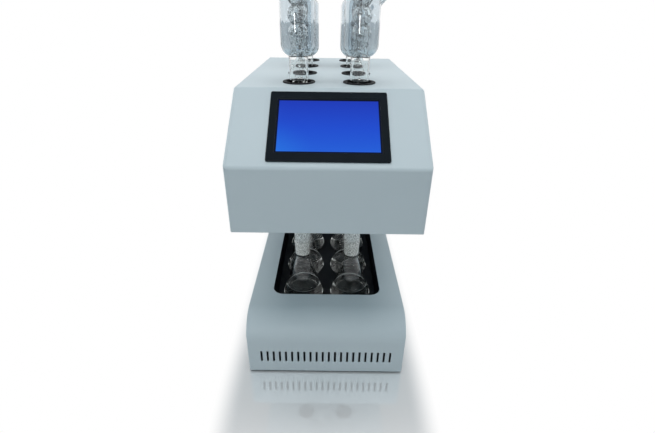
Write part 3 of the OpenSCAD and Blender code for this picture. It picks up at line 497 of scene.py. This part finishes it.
def round_profile(corners, step=8):
    """Points along an outline whose corners (r, z, radius) are rounded; step is degrees."""
    points = [corners[0][:2]]
    for before, (r, z, radius), after in zip(corners, corners[1:-1], corners[2:]):
        here = Vector((r, z))
        if radius <= 0:
            points.append((r, z))
            continue
        u = (Vector(before[:2]) - here).normalized()
        v = (Vector(after[:2]) - here).normalized()
        half = acos(max(-1, min(1, u.dot(v)))) / 2
        centre = here + (u + v).normalized() * radius / sin(half)
        start = here + u * radius / tan(half) - centre
        end = here + v * radius / tan(half) - centre
        a = atan2(start.y, start.x)
        turn = (atan2(end.y, end.x) - a + pi) % (2 * pi) - pi
        count = max(1, round(abs(turn) / radians(step)))
        for k in range(count + 1):
            angle = a + turn * k / count
            points.append((centre.x + radius * cos(angle), centre.y + radius * sin(angle)))
    points.append(corners[-1][:2])
    return points


def turned(name, profile, centre, steps=96, closed=True):
    """A solid of revolution about an upright axis. profile runs in mm and begins and ends on
    the axis, or is a ring when it doesn't. With closed off it stays a sheet. Its corners and
    faces have a fixed order, so that what is scattered over it is the same each run."""
    profile = [p for k, p in enumerate(profile) if k == 0 or dist(p, profile[k - 1]) > SAME_POINT]
    around = zip(profile, profile[1:] + profile[:1])
    if sum(r * z_next - r_next * z for (r, z), (r_next, z_next) in around) < 0:
        # faces look outward when the profile goes up outside and down inside
        profile.reverse()
    corners, rows = [], []
    for r, z in profile:
        # a point on the axis is one corner, any other a circle of them
        count = steps if r > 0 else 1
        rows.append([len(corners) + k % count for k in range(steps + 1)])
        for k in range(count):
            angle = 2 * pi * k / steps
            corners.append((centre.x + r * cos(angle) * MM, centre.y + r * sin(angle) * MM,
                            centre.z + z * MM))
    strips = list(zip(rows, rows[1:]))
    if closed and profile[0][0] > 0:
        strips.append((rows[-1], rows[0]))
    # a face at the axis would have one corner twice
    faces = [list(dict.fromkeys((lower[k], lower[k + 1], upper[k + 1], upper[k])))
             for lower, upper in strips for k in range(steps)]
    mesh = bpy.data.meshes.new(name)
    mesh.from_pydata(corners, [], faces)
    mesh.update()
    return placed(name, mesh)


def smooth(piece, degrees=40):
    """Smooth shading, except over edges sharper than degrees."""
    mesh = piece.data
    mesh.polygons.foreach_set("use_smooth", [True] * len(mesh.polygons))
    mesh.set_sharp_from_angle(angle=radians(degrees))


def finish_piece(piece, material, body, slot, *nodes):
    piece.data.materials.clear()
    piece.data.materials.append(material)
    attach(piece, body)
    if nodes:
        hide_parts(*nodes)


# The smallest drop's size as a share of the largest one's
SMALLEST_DROP = 0.35


def drops_group(material):
    """Drops of many sizes scattered over a surface, flat side on it."""
    group = bpy.data.node_groups.new("condensed_drops", "GeometryNodeTree")
    group.interface.new_socket("Surface", in_out="INPUT", socket_type="NodeSocketGeometry")
    for label, kind in (("Density", "NodeSocketFloat"), ("Smallest", "NodeSocketFloat"),
                        ("Largest", "NodeSocketFloat"), ("Seed", "NodeSocketInt")):
        group.interface.new_socket(label, in_out="INPUT", socket_type=kind)
    group.interface.new_socket("Drops", in_out="OUTPUT", socket_type="NodeSocketGeometry")
    new, link = group.nodes.new, group.links.new
    start, end = new("NodeGroupInput"), new("NodeGroupOutput")
    spots = new("GeometryNodeDistributePointsOnFaces")
    link(start.outputs["Surface"], spots.inputs["Mesh"])
    link(start.outputs["Density"], spots.inputs["Density"])
    link(start.outputs["Seed"], spots.inputs["Seed"])
    # most drops are small
    chance = new("FunctionNodeRandomValue")
    link(start.outputs["Seed"], chance.inputs["Seed"])
    rare = calculated(group, MATH, "POWER", chance.outputs[1], 2)
    size = new("ShaderNodeMapRange")
    link(rare.outputs[0], size.inputs["Value"])
    link(start.outputs["Smallest"], size.inputs["To Min"])
    link(start.outputs["Largest"], size.inputs["To Max"])
    ball = new("GeometryNodeMeshIcoSphere")
    ball.inputs["Radius"].default_value = 1
    ball.inputs["Subdivisions"].default_value = 2
    flat = new("GeometryNodeTransform")
    link(ball.outputs["Mesh"], flat.inputs["Geometry"])
    flat.inputs["Scale"].default_value = (1, 1, 0.6)
    repeat = new("GeometryNodeInstanceOnPoints")
    link(spots.outputs["Points"], repeat.inputs["Points"])
    link(spots.outputs["Rotation"], repeat.inputs["Rotation"])
    link(flat.outputs["Geometry"], repeat.inputs["Instance"])
    link(size.outputs["Result"], repeat.inputs["Scale"])
    whole = new("GeometryNodeRealizeInstances")
    link(repeat.outputs["Instances"], whole.inputs["Geometry"])
    soft = new("GeometryNodeSetShadeSmooth")
    link(whole.outputs["Geometry"], soft.inputs["Geometry"])
    coat = new("GeometryNodeSetMaterial")
    coat.inputs["Material"].default_value = material
    link(soft.outputs["Geometry"], coat.inputs["Geometry"])
    link(coat.outputs["Geometry"], end.inputs["Drops"])
    return group


def drops_on(name, outline, centre, group, body, seed, density, largest):
    """Condensed drops over a surface of revolution, whose outline runs in mm."""
    piece = turned(name, outline, centre, steps=48, closed=False)
    surface = piece.data
    grown = piece.modifiers.new("drops", "NODES")
    grown.node_group = group
    wanted = {"Density": density, "Smallest": SMALLEST_DROP * largest * MM,
              "Largest": largest * MM, "Seed": seed}
    for item in group.interface.items_tree:
        if item.in_out == "INPUT" and item.name in wanted:
            grown[item.identifier] = wanted[item.name]
    graph = bpy.context.evaluated_depsgraph_get()
    mesh = bpy.data.meshes.new_from_object(piece.evaluated_get(graph), depsgraph=graph)
    piece.modifiers.remove(grown)
    piece.data = mesh
    bpy.data.meshes.remove(surface)
    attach(piece, body)


# ---- Glassware ----

# All lengths in mm. Heights of flasks are over their foot
WALL = 1.8
FOOT_R, FOOT_BORE_R = 47.6, 45.4
NECK_R, NECK_BORE_R = 13, 11.2
SHOULDER_Z, JOINT_Z, RIM_Z = 101, 110.5, 142.5
LIQUID_Z, DAMP_Z = 33, 96
# the liquid reaches this far into the glass, so that no air is between them
INTO_GLASS = 0.15

# Corners of a flask's whole wall: outside from the foot up, then inside back down
FLASK_WALL = [
    (0, 0, 0), (FOOT_R, 0, 11.5), (NECK_R, SHOULDER_Z, 22), (NECK_R, JOINT_Z - 5, 3),
    (15.0, JOINT_Z, 3), (16.3, 138.5, 0.6), (16.75, 138.7, 0.1), (16.75, RIM_Z, 1.7),
    (14.8, RIM_Z, 0.5), (13.2, JOINT_Z, 2), (NECK_BORE_R, JOINT_Z - 5, 2),
    (NECK_BORE_R, SHOULDER_Z, 23.8), (FOOT_BORE_R, WALL, 9.7), (0, WALL, 0)]
# The ground surface, a skin on the joint's bore
NECK_SKIN = [(13.24, JOINT_Z + 0.5), (14.78, RIM_Z - 1), (14.70, RIM_Z - 1),
             (13.16, JOINT_Z + 0.5)]


def stand(node):
    """Foot centre of a flask."""
    low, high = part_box(node)
    return Vector(((low.x + high.x) / 2, (low.y + high.y) / 2, low.z))


def bore_r(z):
    """Radius of a flask's sloping inside at the height z."""
    return FOOT_BORE_R - (FOOT_BORE_R - NECK_BORE_R) * (z - WALL) / (SHOULDER_Z - WALL)


def flasks(glass, liquid, painted_gleam, ground, drops):
    # the liquid's edge is drawn up the wall; a pale ring there is a painted highlight for the
    # light its meniscus bends
    brim_z = LIQUID_Z + 1.2
    brim = bore_r(brim_z)
    pool = [(0, WALL - INTO_GLASS, 0), (FOOT_BORE_R + INTO_GLASS, WALL - INTO_GLASS, 9.8),
            (brim + INTO_GLASS, brim_z, 0), (brim - 0.6, LIQUID_Z + 0.5, 0),
            (brim - 2.2, LIQUID_Z, 0), (0, LIQUID_Z, 0)]
    # the ring that carries the painted highlight along the liquid's edge
    rim = [(brim - 0.9, LIQUID_Z + 0.1), (brim - 0.02, LIQUID_Z + 1.5),
           (brim - 0.02, LIQUID_Z + 1.1), (brim - 0.8, LIQUID_Z - 0.1)]
    # what has condensed on the wall above the liquid
    damp = [(bore_r(z), z) for z in (DAMP_Z, LIQUID_Z + 4)]
    for n, node in enumerate(FLASKS):
        centre, body = stand(node), node + "_body"
        wall = turned(node + "_glass", round_profile(FLASK_WALL), centre)
        smooth(wall, 50)
        finish_piece(wall, glass, body, "clear_glass", node)
        for part, profile, sharp, material in (
                ("_ground_joint", NECK_SKIN, 50, ground),
                ("_liquid", round_profile(pool), 60, liquid),
                ("_painted_rim_highlight", rim, 60, painted_gleam)):
            piece = turned(node + part, profile, centre)
            smooth(piece, sharp)
            finish_piece(piece, material, body, "clear_glass")
        drops_on(node + "_drops", damp, centre, drops, body, seed=20 + n, density=14000,
                 largest=1.2)


def smooth_copy(node):
    """A merged, smoothly shaded copy of a CAD node."""
    mesh = CAD[node].data.copy()
    # the stored normals would no longer fit once the corners are merged
    if "custom_normal" in mesh.attributes:
        mesh.attributes.remove(mesh.attributes["custom_normal"])
    bm = bmesh.new()
    bm.from_mesh(mesh)
    bmesh.ops.remove_doubles(bm, verts=bm.verts, dist=2e-6)
    bm.to_mesh(mesh)
    bm.free()
    piece = placed(node + "_glass", mesh)
    smooth(piece, 35)
    return piece


# Radii of a condenser's inner tube: stem, tube under the bulbs, bulb, waist, mouth
STEM_R, TUBE_R, BULB_R, WAIST_R, MOUTH_R = 16, 13, 16, 9.2, 12
BULB_COUNT, BULB_STEPS, FIRST_BULB, BULB_PITCH = 3, 16, 36, 26
CONE_H = 31.7
# From the jacket's foot up to the tube's mouth
JACKET_TO_MOUTH = 138
# The ground cone and the etched band over it, as a skin: radius, height over the cone's tip
CONE_SKIN = [(12.96, 1), (14.54, CONE_H), (16.04, 37), (16.04, 56),
             (16.01, 56), (16.01, 37), (14.51, CONE_H), (12.93, 1)]


def bulb_wall(z, inset):
    """Points up a wall of bulbs over a jacket that begins at z; inset is 0 outside and the
    wall's thickness in the bore."""
    radius = BULB_R - inset
    points = []
    for k in range(BULB_COUNT):
        middle = z + FIRST_BULB + BULB_PITCH * k
        below = TUBE_R if k == 0 else WAIST_R
        above = MOUTH_R if k == BULB_COUNT - 1 else WAIST_R
        low = acos(below / radius - inset / radius)
        high = acos(above / radius - inset / radius)
        for step in range(BULB_STEPS + 1):
            angle = -low + (low + high) * step / BULB_STEPS
            points.append((radius * cos(angle), middle + radius * sin(angle)))
    return points


def tube_outside(tip, z, top):
    """Points up the outside of an inner tube, from its cone's tip at the height tip."""
    lip = MOUTH_R + 2
    return [(12.9, tip), (14.5, tip + CONE_H), (STEM_R, tip + 36.7), (STEM_R, tip + 38),
            (STEM_R, z + 1.3), (STEM_R, z + WALL), (TUBE_R, z + WALL), (TUBE_R, z + 6),
            *bulb_wall(z, 0), (MOUTH_R, top - 4), (MOUTH_R, top - 3), (lip - 0.6, top - 3),
            (lip, top - 2), (lip, top - 1), (lip - 0.6, top)]


# Where in the bore's points the bulbs begin
UNDER_BULBS = 7


def tube_bore(tip, z, top):
    """Points up its bore."""
    stem, tube, mouth = STEM_R - WALL, TUBE_R - WALL, MOUTH_R - WALL
    return [(11.1, tip), (12.7, tip + 33.7), (stem, tip + 38.7), (stem, tip + 40), (stem, z - 4),
            (stem, z - 3), (tube, z + 2.8), (tube, z + 4), *bulb_wall(z, WALL),
            (mouth, top - 4), (mouth, top)]


def condensers(glass, jacket_glass_painted_shade, ground, drops):
    """Each inner tube, and the water jacket with its hose arms around it."""
    for n in range(1, 5):
        node, jacket, body = f"condenser_{n}", f"water_jacket_{n}", f"condenser_{n}_body"
        low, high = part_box(node)
        centre = Vector(((low.x + high.x) / 2, (low.y + high.y) / 2, 0))
        tip, top = low.z / MM, high.z / MM
        z = top - JACKET_TO_MOUTH
        bore = tube_bore(tip, z, top)
        tube = turned(node + "_glass", tube_outside(tip, z, top) + bore[::-1], centre)
        smooth(tube, 50)
        finish_piece(tube, glass, body, "clear_glass", node)
        finish_piece(smooth_copy(jacket), jacket_glass_painted_shade, body, "clear_glass", jacket)
        skin = turned(node + "_ground_cone", [(r, tip + up) for r, up in CONE_SKIN], centre)
        smooth(skin, 50)
        finish_piece(skin, ground, body, "clear_glass")
        drops_on(node + "_bulb_drops", bore[UNDER_BULBS:-1], centre, drops, body, seed=40 + n,
                 density=60000, largest=2.4)
        drops_on(node + "_stem_drops", [(STEM_R - WALL, tip + 58), (STEM_R - WALL, z - 5)],
                 centre, drops, body, seed=60 + n, density=14000, largest=2.0)


# ---- Which node has which finish ----

def paint_nodes(finishes):
    for material, names in finishes:
        for name in names:
            mesh = CAD[name].data
            if not mesh.materials:
                mesh.materials.append(material)
            for k in range(len(mesh.materials)):
                mesh.materials[k] = material


photo_camera()
studio_world()
soft_box("key", place=(0, -0.1, 2.4), aim=(0, -0.05, 0.3), size=2.0, watts=34)
soft_box("front", place=(0, -2.0, 2.0), aim=(0, -0.25, 0.2), size=1.6, watts=6)
soft_box("glint", place=(-0.5, -1.8, 0.55), aim=(0, -0.1, 0.15), size=0.2, watts=2,
         seen_in_gloss=True)
soft_box("left", place=(-2.2, -0.4, 1.6), aim=(0, -0.1, 0.2), size=1.6, watts=9)
soft_box("right", place=(2.2, -0.4, 1.6), aim=(0, -0.1, 0.2), size=1.6, watts=9)
floor()

housing = powder_coat()
plastic = moulding("black_plastic", gloss=0.25)
zinc = rolled_metal("zinc_plate", (196, 197, 199), (0.22, 0.34), 1800)
sheet_steel = rolled_metal("galvanised_sheet", (168, 171, 174), (0.3, 0.48))
aluminium = rolled_metal("raw_aluminium", (198, 200, 203), (0.25, 0.4), 3000)
brass = rolled_metal("nickel_brass", (208, 200, 176), (0.2, 0.3), 1800)
cream = moulding("cream_plastic", (222, 220, 208), low=0.35, high=0.5)
bezel = moulding("bezel_plastic", (20, 27, 33), low=0.3, high=0.42, grain=1800, gloss=0.12)
red = moulding("rocker_red", (170, 26, 20), low=0.25, high=0.35)
glass = clear_glass()
paint_nodes([
    (housing, ["base_cover", "column_cover", "rear_panel", "head_cover", "head_cheeks",
               "head_floor"]),
    (sheet_steel, ["base_pan", "column_uprights", "head_rails", "heat_shield"]),
    (zinc, ["foot_screws", "plate_standoffs", "thermocouple", "rear_panel_screws", "fan_guard",
            "fan_screws", "head_floor_screws"]),
    (aluminium, ["power_supply", "relay_heat_sink", "display_module"]),
    (brass, ["inlet_pins", "board_standoffs"]),
    (plastic, ["power_inlet", "fuse_drawer", "switch_frame", "fan_frame", "fan_rotor",
               "guide_sleeves"]),
    (bezel, ["display_bezel"]),
    (red, ["switch_rocker"]),
    (cream, ["solid_state_relay", "terminal_block"]),
    (soft_rubber(), ["feet", "grommets", "display_gasket"]),
    (heat_proof_black(), ["well_liner"]),
    (plate_black(), ["hot_plate"]),
    (heated_sheath(), ["heating_elements"]),
    (fibre_board(), ["insulation_board"]),
    (circuit_green(), ["control_board"]),
    (lit_screen(), ["display_glass"]),
    (glass, ["fuse"]),
])
liquid, ground = clear_liquid(), ground_glass()
drops = drops_group(liquid)
flasks(glass, liquid, liquid_rim(), ground, drops)
# the jackets' grey-blue tint is painted shade: it makes them stand darker against the white
# background than clear glass does
condensers(glass, clear_glass("jacket_glass_painted_shade", (0.78, 0.83, 0.86)), ground, drops)

bpy.context.scene.view_settings.view_transform = "Standard"
